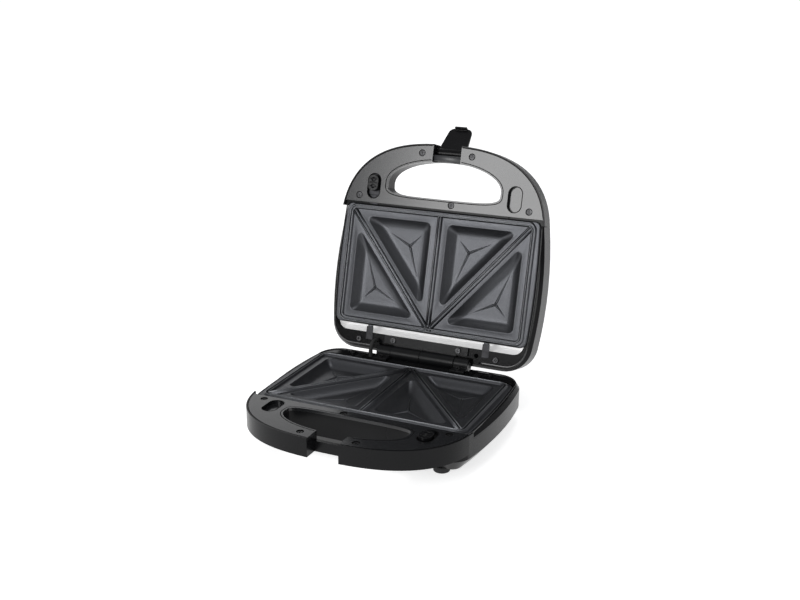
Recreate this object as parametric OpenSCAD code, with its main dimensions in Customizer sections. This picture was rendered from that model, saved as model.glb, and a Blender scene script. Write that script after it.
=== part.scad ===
// Sandwich toaster: two hinged halves made from the same mouldings, one turned over.
// Each half is drawn in one half frame: X right, Y back, Z up, origin on the hinge axis
// at the mating plane, so everything of a half lies in front of and below its origin.

/* [Toasting plate] */
// Width of the raised sealing rim
rim_w = 210; // [190:1:225]
// Depth of the raised sealing rim, front to back
rim_d = 125; // [112:1:140]
// Height of the sealing rim over the plate's face
rim_h = 2.05; // [1.2:0.05:3]
// Width of the sealing rim and of the dividing ridges
rim_t = 4.4; // [3:0.1:4.8]
// Radius of the sealing rim's corners, at its middle
rim_corner = 7; // [4:0.5:10]
// Width of the groove along the rim and the ridges
groove_w = 1.4; // [0.8:0.1:2]
// Depth of the groove along the rim and the ridges
groove_d = 1.1; // [0.5:0.1:1.2]
// Flange outside the rim at the sides
flange_side = 8.4; // [6:0.1:12]
// Flange outside the rim at the back
flange_rear = 4; // [2.5:0.1:6]
// Flange outside the rim at the front
flange_front = 3.5; // [2.5:0.1:5]
// Thickness of the cast plate
plate_t = 2.5; // [2:0.1:3.5]
// Depth of a toasting pocket below the plate's face
pocket_depth = 7.5; // [5:0.1:9]
// Margin between a straight ridge and its pocket
pocket_margin = 10.5; // [8:0.1:14]
// Margin between a diagonal ridge and its pocket
pocket_margin_diagonal = 7.6; // [6:0.1:10]
// Width of a pocket's sloping wall
pocket_slope = 8; // [5:0.1:10]

/* [Housing] */
// Width of the frame beside the plate
frame_side = 6; // [5:0.1:10]
// Gap behind the plate that shows the reflector
rear_gap = 8; // [6:0.1:12]
// Distance from the rim's rear edge to the hinge axis
hinge_back = 30; // [28:0.5:36]
// Overhang of the frame behind the hinge axis
rear_lip = 1.5; // [1:0.1:2]
// Radius of the bow of the housing's sides
side_bow = 430; // [350:10:600]
// Radius of the rear corners
rear_corner = 30; // [22:1:36]
// Radius of the front corners under the handle
front_corner = 20; // [16:1:24]
// Wall of the shells
wall = 2.5; // [2:0.1:3]
// Depth of the base shell below the mating plane
base_depth = 39; // [38:0.5:46]
// Depth of the lid shell above the mating plane
lid_depth = 42; // [38:0.5:48]
// Depth of the parting line between frame and shell
parting = 10; // [9.5:0.5:12]
// Width of the chamfer round a shell's outer edge
shell_edge = 10; // [6:0.5:11]
// Height of the feet
foot_h = 6; // [4:0.5:10]
// Radius of a foot
foot_r = 8; // [6:0.5:9]

/* [Handle] */
// Reach of the handle in front of the sealing rim
handle_reach = 74.5; // [70:0.5:82]
// How much narrower the handle is than the housing, each side
handle_in = 2.3; // [1.5:0.1:3]
// Exponent of the handle's curve
handle_power = 2.6; // [2.2:0.1:3]
// Thickness of one handle half
handle_t = 19.5; // [17:0.5:20]
// Thickness of the flat handle panel
panel_t = 3.1; // [2.4:0.1:4]
// Width of the finger hole
hole_w = 130; // [110:1:136]
// Depth of the finger hole, front to back
hole_d = 40; // [34:1:44]
// Width of the latch gap
gap_w = 32; // [28:1:40]
// Length of an oval recess
oval_l = 26.5; // [24:0.5:30]
// Width of an oval recess
oval_w = 14.5; // [12:0.5:16]
// Depth of an oval recess
oval_depth = 4; // [3.5:0.1:5]
// Travel of a plate release knob
knob_travel = 6.5; // [4:0.1:7]

/* [Hinge and latch] */
// Opening angle of the lid
lid_open = 105; // [95:1:108]
// Radius of the hinge barrel
barrel_r = 7.5; // [6.5:0.1:7.8]
// Radius of the hinge pin
pin_r = 2.5; // [2:0.1:3]
// Half length of the lid's hinge barrel
barrel_half = 36.6; // [30:0.1:40]
// Length of one base knuckle
knuckle_l = 16; // [12:0.5:18]
// Half width of the latch flap
flap_half_w = 14.5; // [11:0.1:16]
// Thickness of the latch flap
flap_t = 2.4; // [2:0.1:3]
// Angle at which the open flap leans out from the handle
flap_open = 38; // [20:1:60]

/* [Fits] */
// Gap between the two handles when closed
seam = 0.8; // [0.6:0.1:1.5]
// Gap round the plate in its frame
plate_gap = 0.6; // [0.4:0.1:1]
// Clearance between a seat and what rests on it
seat = 0.3; // [0.2:0.05:0.4]
// Radial clearance of the hinge and latch pins
pin_fit = 0.08; // [0.02:0.01:0.1]

/* [Hidden] */
eps = 0.01;
round_fn = 48;
arc_steps = 8;
curve_steps = 40;

// Levels of a half, below the mating plane
rim_top = -0.15;
plate_face = rim_top - rim_h;
plate_bottom = plate_face - plate_t;
panel_top = -seam / 2;
panel_bottom = panel_top - panel_t;
frame_top = panel_bottom;
frame_t = 2;
ledge_top = plate_bottom - seat;
ledge_t = 1.5;
ledge_bottom = ledge_top - ledge_t;
ledge_w = 3;
pan_t = 0.6;
tube_r = 3.25;
pocket_bottom = plate_face - pocket_depth;
bulge_bottom = pocket_bottom - plate_t + 0.5;
tube_z = bulge_bottom - 1 - tube_r;
pan_floor = tube_z - tube_r - seat - pan_t;
mating_z = base_depth + foot_h;

// Lines across a half, front to back
rim_rear = -hinge_back;
rim_front = rim_rear - rim_d;
plate_rear = rim_rear + flange_rear;
plate_front = rim_front - flange_front;
plate_mid = (rim_rear + rim_front) / 2;
frame_open_rear = plate_rear + rear_gap;
panel_rear = plate_front - 2;
step_y = rim_front + 0.5;
handle_front = rim_front - handle_reach;
hole_rear = panel_rear - 10.5;
hole_front = hole_rear - hole_d;
tub_front = hole_rear;
gap_rear = hole_front - 0.5;
strip_front = hole_rear - 2;
lip_t = 1.3;
ring_t = 2;
skirt_t = 2;
frame_edge_in = 3;
frame_edge_drop = 4.5;
edge_rise = shell_edge * 1.2;
front_drop = 16;
hole_back_power = 4.4;
hole_front_power = 2.05;
cut_gap = 1;
bridge_end = 4;
bridge_depth = 8.2;
plate_half = rim_w / 2 + flange_side;
body_half = plate_half + plate_gap + frame_side;
handle_half_w = body_half - handle_in;
body_mid = plate_mid + 12.5;
plate_bow = 870;
handle_mid = rim_front + 25;
handle_d = handle_mid - handle_front;
opening_gap_rear = 14;

// Reflector pan
pan_half = plate_half - ledge_w - 1.5;
pan_front = plate_front + ledge_w + 1.5;
pan_rear = frame_open_rear + 1.5;
pan_slope = 5;
pan_flange = 3;

// Heater and thermostat
heater_in = 24;
heater_half = rim_w / 2 - heater_in - 3;
heater_front = rim_front + heater_in;
heater_rear = rim_rear - heater_in;
heater_bend = heater_in / 2;
heater_ends = 10;
heater_stub = 6;
stat_r = 8;
stat_y = heater_front + 30;
fuse_x = heater_half / 2;

// Knob and oval
slide_w = oval_w + 3;
slide_side = 5.25;
oval_x = hole_w / 2 + ring_t + slide_w / 2 + slide_side;
oval_y = hole_rear - 7.6;
knob_w = oval_w - 2;
knob_l = 18;
knob_rise = 3.3;
knob_y = oval_y - oval_l / 2 + 0.9 + knob_l / 2;
oval_cup = 1.2;
slide_t = 1.6;
slide_top = panel_bottom - seat;
slide_bottom = slide_top - slide_t;
slide_rear = knob_y + knob_l / 2 + 4;
tail_t = 2;
tail_bottom = -14;
spring_l = 12;
spring_r = 2.2;
spring_wire = 0.6;
spring_z = slide_bottom - 0.6 - spring_r;
spring_rear = slide_rear - tail_t - seat;
post_r = 2.2;
post_y = spring_rear - spring_l - seat - post_r;

// Hinge
knuckle_gap = 0.4;
press_gap = 0.02;
knuckle_r = barrel_r - 0.5;
trough_r = barrel_r + 0.8;
knuckle_in = barrel_half + knuckle_gap;
knuckle_out = knuckle_in + knuckle_l;
trough_half = knuckle_out + 2;
bracket_half = barrel_half + 12.4;
bracket_t = 2.2;
bracket_front = frame_open_rear + seat;
bracket_rear = -barrel_r - 1.5;
bracket_screw_x = barrel_half + 1.4;
knuckle_screw_x = knuckle_in + knuckle_l / 2;
hinge_screw_y = (bracket_front + bracket_rear) / 2;
hinge_screw_l = 6;
seam_x = 2.3;
lead_x = knuckle_out + 5;
lead_y = -10.8;
lead_r = 2.2;
lead_bend = 9;
lead_tail = 8;
lead_lap = 0.6;
// The bend's centre lies on the plane that halves the angle between the two frames
lead_rise = (-lead_y - lead_bend) * tan(lid_open / 2);
lead_l = lead_rise - frame_top + frame_t + lead_tail;

// Catch and clips
catch_t = 0.8;
catch_w = 10;
catch_y = slide_rear + seat + catch_t;
lug_t = 1.3;
lug_top = panel_bottom - 2 * seat - catch_t;
lug_reach = 1.6;
lug_root = 3;
lug_w = 7;
rear_lug_top = plate_face - 1;
rear_lug_w = 6;
clip_x = lead_x + 10;
clip_w = 8;
clip_t = 0.6;
rear_lug_reach = 3.5;
clip_over = 2.2;
clip_foot = 7;
clip_back = 0.8;

// Places of the fasteners
panel_screw_r = 1.5;
head_r = 2.9;
screw_fit = 0.1;
head_h = 1.5;
panel_head_z = panel_top - 0.6;
panel_screw_l = 11;
frame_screw_l = 12;
corner_screw = [oval_x + slide_w / 2 + cut_gap + 6.95, hole_rear + 3.6];
centre_screw = [-11.2, hole_rear + 5.2];
gap_screw = [gap_w / 2 + 12.5, (handle_front + hole_front) / 2 + 1.5];
panel_screws = [
  corner_screw, [-corner_screw[0], corner_screw[1]], centre_screw,
  gap_screw, [-gap_screw[0], gap_screw[1]]
];
frame_screw_x = clip_x + 12;
frame_screw_y = frame_open_rear + 8.5;
boss_r = 3.5;

// Latch
latch_y = (handle_front + gap_rear) / 2 - 0.5;
latch_z = -14;
latch_barrel_r = 3.1;
latch_pin_r = 1.25;
keeper_top = -9;
keeper_t = 5.5;
keeper_front = gap_rear - keeper_t + 2;
flap_reach = handle_t - latch_z + 1.2;
hook_t = 2;
hook_l = 3.4;
flap_round = 7;

// Lamps in the lid
lamp_x = [-14, 14];
lamp_y = plate_mid - 30;
lens_r = 3.5;
lens_l = wall + 1.5;

// Feet, cord and mains parts
foot_x = rim_w / 2 - 19.6;
foot_front_y = tub_front + 17;
foot_rear_y = -14;
foot_floor = 2.5;
foot_screw_l = foot_h + 5;
feet_at = [
  [foot_x, foot_front_y], [-foot_x, foot_front_y],
  [foot_x - 3, foot_rear_y], [-foot_x + 3, foot_rear_y]
];
gland_x = 62;
gland_z = -base_depth + 21;
gland_bore_r = 3.5;
block_l = 30;
block_w = 16;
block_h = 8.5;
gland_neck_r = 5.5;
gland_head_r = 7.5;
gland_head_t = 3;
gland_nut_t = 2.5;
gland_neck_l = wall + seat + gland_nut_t;

// Place of the model's origin: the middle of the footprint of the open toaster
hinge_y = 65;

// ---------- placing ----------

module on_base() translate([0, hinge_y, mating_z]) children();
module on_lid() translate([0, hinge_y, mating_z]) rotate([-lid_open, 0, 0]) rotate([0, 180, 0]) children();
module slab(low, high) translate([0, 0, low]) linear_extrude(high - low) children();
module both_x() {
  children();
  mirror([1, 0, 0]) children();
}
module along_x(x, length, r, y = 0, z = 0) {
  translate([x, y, z]) rotate([0, 90, 0]) cylinder(h = length, r = r, $fn = round_fn);
}

// ---------- outlines ----------

// Points of an arc, leaving out the first one where it repeats the last arc's end
function arc(c, r, a0, a1, first) =
  [for (i = [first:arc_steps])
    let (a = a0 + (a1 - a0) * i / arc_steps) [c[0] + r * cos(a), c[1] + r * sin(a)]];

// X of a corner circle that touches the bowed side from inside
function corner_x(cx, bow, r, dy) = cx + sqrt(pow(bow - r, 2) - pow(dy, 2));

// Right half of a plan with bowed sides: front corner, side, rear corner
function bowed_side(hw, yf, yr, rf, rr, bow, ym) =
  let (cx = hw - bow,
       fy = yf + rf,
       ry = yr - rr,
       fx = corner_x(cx, bow, rf, fy - ym),
       rx = corner_x(cx, bow, rr, ry - ym),
       af = atan2(fy - ym, fx - cx),
       ar = atan2(ry - ym, rx - cx))
  concat(arc([fx, fy], rf, -90, af, 0), arc([cx, ym], bow, af, ar, 1), arc([rx, ry], rr, ar, 90, 1));

// A right half and its mirror image as one closed outline
function mirrored(p) = concat(p, [for (i = [len(p) - 1:-1:0]) [-p[i][0], p[i][1]]]);

// Housing below the parting line
module tub_2d(inset = 0) {
  polygon(mirrored(bowed_side(
    body_half - inset, tub_front + inset, rear_lip - inset,
    front_corner - inset, rear_corner - inset, side_bow - inset, body_mid
  )));
}

// Plate and the opening it lies in
module plate_2d(grow = 0, rear = plate_rear, rear_r = 8) {
  polygon(mirrored(bowed_side(
    plate_half + grow, plate_front - grow, rear, 6 + grow, rear_r, plate_bow, plate_mid
  )));
}

function power_curve(t, n) = pow(abs(t), 2 / n) * sign(t);

// Handle in front of the line y = rear
module handle_2d(inset = 0, rear = step_y) {
  a = handle_half_w - inset;
  b = handle_d - inset;
  t0 = asin(pow((handle_mid - rear) / b, handle_power / 2));
  polygon([for (i = [0:curve_steps]) let (t = t0 + (180 - 2 * t0) * i / curve_steps)
    [-a * power_curve(cos(t), handle_power), handle_mid - b * power_curve(sin(t), handle_power)]]);
}

// D-shaped finger hole: flat at the back, bowed at the front
module hole_2d(grow = 0) {
  a = hole_w / 2 + grow;
  mid = hole_rear - 13;
  polygon([for (i = [0:curve_steps - 1]) let (
      t = 360 * i / curve_steps,
      back = sin(t) >= 0,
      n = back ? hole_back_power : hole_front_power,
      b = (back ? hole_rear - mid : mid - hole_front) + grow
    ) [a * power_curve(cos(t), n), mid + b * power_curve(sin(t), n)]]);
}

module oval_2d(grow = 0, l = oval_l, w = oval_w) {
  square([w + 2 * grow, l - w], center = true);
  for (s = [-1, 1]) translate([0, s * (l - w) / 2]) circle(w / 2 + grow, $fn = round_fn);
}

module strip_2d(half, front, rear) translate([-half, front]) square([2 * half, rear - front]);

// ---------- fasteners ----------

// Pan-head screw with a cross recess, its head's top at z = 0
module screw(length, r = panel_screw_r, head = head_r, h = head_h) {
  difference() {
    union() {
      translate([0, 0, -h]) cylinder(h = h, r = head, $fn = round_fn);
      translate([0, 0, -length]) cylinder(h = length - h + eps, r = r, $fn = round_fn);
    }
    for (a = [0, 90]) rotate(a) translate([-head * 0.6, -0.35, -h * 0.6]) cube([head * 1.2, 0.7, h]);
  }
}

module bore_down(top, depth, r) translate([0, 0, top - depth]) cylinder(h = depth + 1, r = r, $fn = round_fn);

// ---------- shells ----------

module shell_outside(depth) {
  hull() {
    slab(-depth, -depth + eps) tub_2d(shell_edge);
    slab(-depth + edge_rise, -front_drop) tub_2d();
  }
  slab(-front_drop - eps, -parting) intersection() {
    tub_2d();
    strip_2d(body_half + 1, step_y + 0.2, rear_lip + 1);
  }
}

module shell_inside(depth) {
  hull() {
    slab(-depth + wall, -depth + wall + eps) tub_2d(shell_edge + wall * 0.7);
    slab(-depth + wall + edge_rise, 1) tub_2d(wall);
  }
}

// Handle's walls and floor, with a rabbet that the flat panel lies in
module handle_tray() {
  difference() {
    slab(-handle_t, panel_top) handle_2d();
    slab(-handle_t + wall, 1) handle_2d(wall, step_y + 1);
    slab(panel_bottom, 1) handle_2d(lip_t, step_y + 1);
    slab(-handle_t + wall, 1) strip_2d(handle_half_w - 2 * wall, step_y - 1, step_y + 1);
  }
}

module shell_bosses(depth) {
  for (p = panel_screws) {
    top = p[1] > strip_front ? frame_top - frame_t : panel_bottom;
    translate(p) slab(-handle_t, top) circle(boss_r, $fn = round_fn);
  }
  both_x() translate([frame_screw_x, frame_screw_y])
    slab(-depth + wall - 1, frame_top - frame_t) circle(boss_r, $fn = round_fn);
  translate([oval_x, post_y]) slab(-handle_t, slide_bottom - 0.6) circle(post_r, $fn = round_fn);
}

// End walls of the latch gap and the keeper bar behind it
module gap_walls() {
  intersection() {
    slab(-handle_t, panel_bottom) handle_2d();
    both_x() translate([gap_w / 2, handle_front - 1, -handle_t])
      cube([wall, gap_rear - handle_front + 2, handle_t]);
  }
  translate([-gap_w / 2 - wall, keeper_front, -handle_t])
    cube([gap_w + 2 * wall, gap_rear + 3 - keeper_front, handle_t + keeper_top]);
}

module half_shell(depth) {
  difference() {
    union() {
      difference() {
        union() {
          shell_outside(depth);
          handle_tray();
        }
        shell_inside(depth);
      }
      difference() {
        slab(-handle_t, panel_bottom) hole_2d(ring_t);
        slab(-handle_t - 1, 1) hole_2d();
      }
      shell_bosses(depth);
      gap_walls();
    }
    slab(-handle_t - 1, 1) hole_2d();
    translate([-gap_w / 2, handle_front - 1, -handle_t - 1])
      cube([gap_w, keeper_front - handle_front + 1, handle_t + 2]);
    translate([-gap_w / 2, keeper_front - 1, keeper_top])
      cube([gap_w, hole_rear - keeper_front, -keeper_top + 1]);
    for (p = panel_screws) translate(p) bore_down(panel_bottom, panel_screw_l, panel_screw_r + screw_fit);
    both_x() translate([frame_screw_x, frame_screw_y])
      bore_down(frame_top, frame_screw_l + 1, panel_screw_r + screw_fit);
  }
}

module base_shell() color("#2b2c2f") on_base() difference() {
  union() {
    half_shell(base_depth);
    for (p = feet_at) translate(p) slab(-base_depth + 1, -base_depth + 10) circle(4.5, $fn = round_fn);
  }
  for (p = feet_at) translate([p[0], p[1], -base_depth - 1]) cylinder(h = 9, r = 1.6, $fn = round_fn);
  translate([gland_x, 0, gland_z]) rotate([90, 0, 0])
    cylinder(h = 12, r = gland_neck_r + screw_fit, center = true, $fn = round_fn);
}

module lid_shell() color("#2b2c2f") on_lid() difference() {
  half_shell(lid_depth);
  for (x = lamp_x) translate([x, lamp_y, -lid_depth - 1])
    cylinder(h = wall + 2, r = lens_r + screw_fit, $fn = round_fn);
  both_x() along_x(gap_w / 2 - 1, wall + 2, latch_pin_r + screw_fit, latch_y, latch_z);
}

// ---------- frames ----------

module frame_plan_2d() {
  intersection() {
    tub_2d();
    strip_2d(body_half + 1, step_y + 0.2, rear_lip + 1);
  }
  intersection() {
    difference() {
      handle_2d(wall + seat, step_y + 1);
      hole_2d(ring_t + seat);
    }
    strip_2d(body_half, strip_front, step_y + 1);
  }
}

// Opening in the frame's tongue for the slide, the catch and the plate's lug
module cut_out(w, rear, low) {
  translate([oval_x - w / 2, strip_front - 1, low]) cube([w, rear - strip_front + 1, 1 - low]);
}

// Bridge that carries the tongue across under the catch
module bridge() {
  front = slide_rear + knob_travel;
  rear = pan_front - pan_flange - seat;
  both_x() translate([oval_x - catch_w / 2 - bridge_end, front, -bridge_depth])
    cube([catch_w + 2 * bridge_end, rear - front, bridge_depth + frame_top]);
}

// Everything behind the step that lies inside the frame's chamfered outer edge
module frame_outside() {
  hull() {
    slab(-handle_t, frame_top - frame_edge_drop) tub_2d();
    slab(frame_top - eps, frame_top) tub_2d(frame_edge_in);
  }
  slab(-handle_t, frame_top) strip_2d(body_half, handle_front, step_y + 0.2);
}

module half_frame() {
  difference() {
    intersection() {
      frame_outside();
      union() {
        slab(frame_top - frame_t, frame_top) frame_plan_2d();
        slab(-parting, frame_top) intersection() {
          difference() {
            tub_2d();
            tub_2d(skirt_t);
          }
          strip_2d(body_half + 1, step_y + 0.2, rear_lip + 1);
        }
        slab(ledge_bottom, frame_top) intersection() {
          plate_2d(plate_gap + 2, frame_open_rear - 4, 8);
          frame_plan_2d();
        }
        bridge();
      }
    }
    slab(ledge_top, 1) plate_2d(plate_gap, frame_open_rear, opening_gap_rear);
    slab(-parting - 1, 1) plate_2d(-ledge_w, frame_open_rear, opening_gap_rear - ledge_w);
    along_x(-trough_half, 2 * trough_half, trough_r);
    for (p = panel_screws) if (p[1] > strip_front)
      translate(p) bore_down(0, 10, panel_screw_r + screw_fit);
    both_x() {
      translate([frame_screw_x, frame_screw_y]) bore_down(0, 10, panel_screw_r + screw_fit);
      translate([lead_x, lead_y]) bore_down(0, 10, lead_r + seat);
      for (x = [bracket_screw_x, knuckle_screw_x])
        translate([x, hinge_screw_y]) bore_down(0, 10, panel_screw_r + screw_fit);
      cut_out(slide_w + 2 * cut_gap, slide_rear + knob_travel + cut_gap, -parting);
      cut_out(catch_w + 2 * cut_gap, plate_front + lug_root + cut_gap, lug_top - lug_t - seat);
    }
  }
}

module base_frame() color("#1c1d1f") on_base() half_frame();
module lid_frame() color("#1c1d1f") on_lid() half_frame();

// ---------- handle panels ----------

module half_panel() {
  difference() {
    union() {
      slab(panel_bottom, panel_top) intersection() {
        handle_2d(lip_t + 0.2);
        strip_2d(handle_half_w, handle_front, panel_rear);
      }
      translate([-oval_x, oval_y]) slab(panel_top - oval_depth - oval_cup, panel_bottom + eps) oval_2d(1.2);
    }
    slab(panel_bottom - 1, 1) hole_2d();
    translate([-gap_w / 2, handle_front - 1, panel_bottom - 1])
      cube([gap_w, gap_rear + 8 - handle_front, panel_t + 2]);
    translate([-oval_x, oval_y]) slab(panel_top - oval_depth, 1) oval_2d();
    translate([oval_x, oval_y]) slab(panel_bottom - 1, 1) oval_2d();
    for (p = panel_screws) translate([p[0], p[1], panel_head_z - head_h]) {
      cylinder(h = head_h + 2, r = head_r + 0.4, $fn = round_fn);
      translate([0, 0, -panel_t]) cylinder(h = panel_t + 1, r = panel_screw_r + screw_fit, $fn = round_fn);
    }
  }
}

module base_panel() color("#3a3b40") on_base() half_panel();
module lid_panel() color("#8d8e92") on_lid() half_panel();

module half_panel_screws() {
  for (p = panel_screws) translate([p[0], p[1], panel_head_z]) screw(panel_screw_l);
}
module base_panel_screws() color("silver") on_base() half_panel_screws();
module lid_panel_screws() color("silver") on_lid() half_panel_screws();

module half_frame_screws() {
  both_x() translate([frame_screw_x, frame_screw_y, frame_top + head_h]) screw(frame_screw_l);
}
module base_frame_screws() color("silver") on_base() half_frame_screws();
module lid_frame_screws() color("silver") on_lid() half_frame_screws();

// ---------- plates ----------

// Corners of a pocket, measured from the right angle of its triangle
function pocket_corners(m, md) =
  let (d = sqrt(rim_w * rim_w / 4 + rim_d * rim_d),
       w = rim_w / 2,
       c = 1 - md * d / (w * rim_d))
  [[m, m], [w * (c - m / rim_d), m], [m, rim_d * (c - m / w)]];

module pocket(top, bottom, grow) {
  r = 2.4;
  hull() {
    for (p = pocket_corners(pocket_margin + r, pocket_margin_diagonal + r))
      translate([p[0], p[1], top]) cylinder(h = eps, r = r + grow, $fn = 24);
    for (p = pocket_corners(pocket_margin + pocket_slope + r, pocket_margin_diagonal + pocket_slope + r))
      translate([p[0], p[1], bottom]) cylinder(h = eps, r = r + grow, $fn = 24);
  }
}

// The four pocket triangles: two with the right angle at the front middle, two at the rear corners
module in_pockets() {
  both_x() {
    translate([0, rim_front]) children();
    translate([rim_w / 2, rim_rear]) rotate(180) children();
  }
}

module ridge(from, to, t) {
  d = to - from;
  translate(from) rotate(atan2(d[1], d[0])) translate([0, -t / 2]) square([norm(d), t]);
}

// Rectangle with rounded corners, whose edge is moved out from the rim's middle line
module rim_area_2d(out) {
  r = rim_corner + out;
  w = rim_w / 2 + out;
  strip_2d(w - r, rim_front - out, rim_rear + out);
  strip_2d(w, rim_front - out + r, rim_rear + out - r);
  both_x() for (y = [rim_front - out + r, rim_rear + out - r]) translate([w - r, y]) circle(r, $fn = round_fn);
}

// Rim and ridges as bands of one width along the same middle lines
module rim_2d(t) {
  difference() {
    rim_area_2d(t / 2);
    rim_area_2d(-t / 2);
  }
  intersection() {
    rim_area_2d(t / 2);
    union() {
      ridge([0, rim_front], [0, rim_rear], t);
      both_x() ridge([rim_w / 2, rim_front], [0, rim_rear], t);
    }
  }
}

// Lug hung under the plate's front edge, for the catch to hold
module front_lug() translate([oval_x - lug_w / 2, plate_front, lug_top - lug_t]) {
  translate([0, -lug_reach, 0]) cube([lug_w, lug_reach + lug_root, lug_t]);
  cube([lug_w, lug_root, plate_bottom - lug_top + lug_t + 1]);
}

module half_plate() {
  difference() {
    union() {
      slab(plate_bottom, plate_face) plate_2d();
      slab(plate_face - eps, rim_top) rim_2d(rim_t);
      in_pockets() pocket(plate_bottom + 0.5, bulge_bottom, plate_t - 0.7);
      front_lug();
      both_x() translate([clip_x - rear_lug_w / 2, plate_rear - 1, rear_lug_top - lug_t])
        cube([rear_lug_w, rear_lug_reach + 1, lug_t]);
    }
    in_pockets() pocket(plate_face + 0.5, pocket_bottom, 0);
    slab(rim_top - groove_d, 1) rim_2d(groove_w);
  }
}

module base_plate() color("#26272b") on_base() half_plate();
module lid_plate() color("#6f7175") on_lid() half_plate();

// ---------- reflector and heater ----------

module pan_2d(inset = 0) {
  translate([-pan_half + inset, pan_front + inset])
    square([2 * (pan_half - inset), pan_rear - pan_front - 2 * inset]);
}

module pan_solid(inset, low, high) {
  hull() {
    slab(high - eps, high) pan_2d(inset);
    slab(low, low + eps) pan_2d(pan_slope + inset);
  }
}

// Pressed bright pan: rim flange under the frame, sloping walls, flat floor
module half_reflector() {
  difference() {
    union() {
      pan_solid(0, pan_floor, ledge_bottom);
      slab(ledge_bottom - pan_t, ledge_bottom) intersection() {
        pan_2d(-pan_flange);
        tub_2d(skirt_t + seat);
      }
    }
    pan_solid(pan_t, pan_floor + pan_t, ledge_bottom + pan_t);
    translate([0, stat_y, pan_floor - 1]) cylinder(h = 4, r = stat_r + 0.5, $fn = round_fn);
  }
}

module base_reflector() color("#e6e7e8") on_base() half_reflector();
module lid_reflector() color("#e6e7e8") on_lid() half_reflector();

module bend(a0) {
  rotate([0, 0, a0]) rotate_extrude(angle = 90, $fn = 64)
    translate([heater_bend, 0]) circle(tube_r, $fn = 32);
}
module rod(p, q) {
  d = q - p;
  translate([p[0], p[1], 0]) rotate([0, 0, atan2(d[1], d[0])]) rotate([0, 90, 0])
    cylinder(h = norm(d), r = tube_r, $fn = 32);
}

// Tubular element: one loop with its two cold ends side by side at the back
module half_heater() translate([0, 0, tube_z]) {
  h = heater_half;
  f = heater_front;
  r = heater_rear;
  b = heater_bend;
  translate([h - b, f + b, 0]) bend(-90);
  translate([-h + b, f + b, 0]) bend(180);
  translate([h - b, r - b, 0]) bend(0);
  translate([-h + b, r - b, 0]) bend(90);
  rod([-h + b, f], [h - b, f]);
  both_x() {
    rod([h, f + b], [h, r - b]);
    rod([h - b, r], [heater_ends, r]);
    translate([heater_ends - heater_stub, r, 0]) rotate([0, 90, 0])
      cylinder(h = heater_stub + eps, r = 1.2, $fn = 24);
  }
}
module base_heater() color("#4d4a47") on_base() half_heater();
module lid_heater() color("#4d4a47") on_lid() half_heater();

// Saddle strap over the tube, standing on the pan's floor
module saddle() {
  t = 0.8;
  w = 7;
  r = tube_r + 0.15;
  floor_z = pan_floor + pan_t - tube_z;
  difference() {
    translate([-w / 2, 0, 0]) union() {
      rotate([0, 90, 0]) cylinder(h = w, r = r + t, $fn = 32);
      translate([0, -r - t, floor_z]) cube([w, 2 * (r + t), -floor_z]);
      translate([0, -r - 6, floor_z]) cube([w, 2 * (r + 6), t]);
    }
    translate([-w, 0, 0]) rotate([0, 90, 0]) cylinder(h = 2 * w, r = r, $fn = 32);
    translate([-w, -r, floor_z - 1]) cube([2 * w, 2 * r, 1 - floor_z]);
  }
}
module half_heater_clips() translate([0, 0, tube_z]) both_x() {
  translate([heater_half * 0.5, heater_front, 0]) saddle();
  translate([heater_half * 0.6, heater_rear, 0]) saddle();
}
module base_heater_clips() color("#b8babd") on_base() half_heater_clips();
module lid_heater_clips() color("#b8babd") on_lid() half_heater_clips();

// ---------- electrical parts in the base ----------

module base_thermostat() color("#c9c2b0") on_base() {
  translate([0, stat_y, 0]) {
    slab(pan_floor - 6, plate_bottom - seat) circle(stat_r, $fn = round_fn);
    slab(pan_floor - 0.8, pan_floor) square([3 * stat_r, stat_r + 1], center = true);
    both_x() translate([5, 0]) slab(pan_floor - 12, pan_floor - 6 + eps) square([0.8, 6], center = true);
  }
}

module base_thermal_fuse() color("#d7d9dc") on_base() {
  fuse_z = pan_floor - 2.4;
  translate([fuse_x, plate_mid, fuse_z]) {
    rotate([90, 0, 0]) cylinder(h = 12, r = 1.9, center = true, $fn = round_fn);
    rotate([90, 0, 0]) cylinder(h = 26, r = 0.5, center = true, $fn = 16);
    translate([-5, -2, -2.5]) cube([10, 4, 0.8]);
    for (x = [-5, 4.2]) translate([x, -2, -2.5]) cube([0.8, 4, pan_floor - fuse_z + 2.5]);
  }
}

// Three-way terminal block on the shell's floor beside the gland
module terminal_block() color("#e8e6dd") on_base()
  translate([gland_x + 4 - block_l, -block_w - 11, -base_depth + wall]) difference() {
    cube([block_l, block_w, block_h]);
    for (i = [0:2]) translate([block_l * (i + 0.5) / 3, 0, 0]) {
      translate([0, block_w / 2, 3]) cylinder(h = block_h, r = 2, $fn = 24);
      translate([0, -1, 4]) rotate([-90, 0, 0]) cylinder(h = block_w + 2, r = 1.4, $fn = 24);
    }
  }

// Gland for the mains cord: flange outside, nut inside, plain bore
module cord_gland() color("#151617") on_base() translate([gland_x, rear_lip, gland_z]) rotate([-90, 0, 0])
  difference() {
    union() {
      translate([0, 0, -gland_neck_l]) cylinder(h = gland_neck_l + 1, r = gland_neck_r, $fn = round_fn);
      cylinder(h = gland_head_t, r = gland_head_r, $fn = round_fn);
      translate([0, 0, -gland_neck_l]) cylinder(h = gland_nut_t, r = gland_head_r - 1, $fn = round_fn);
    }
    translate([0, 0, -gland_neck_l - 1])
      cylinder(h = gland_neck_l + gland_head_t + 2, r = gland_bore_r, $fn = round_fn);
  }

// ---------- feet ----------

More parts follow.
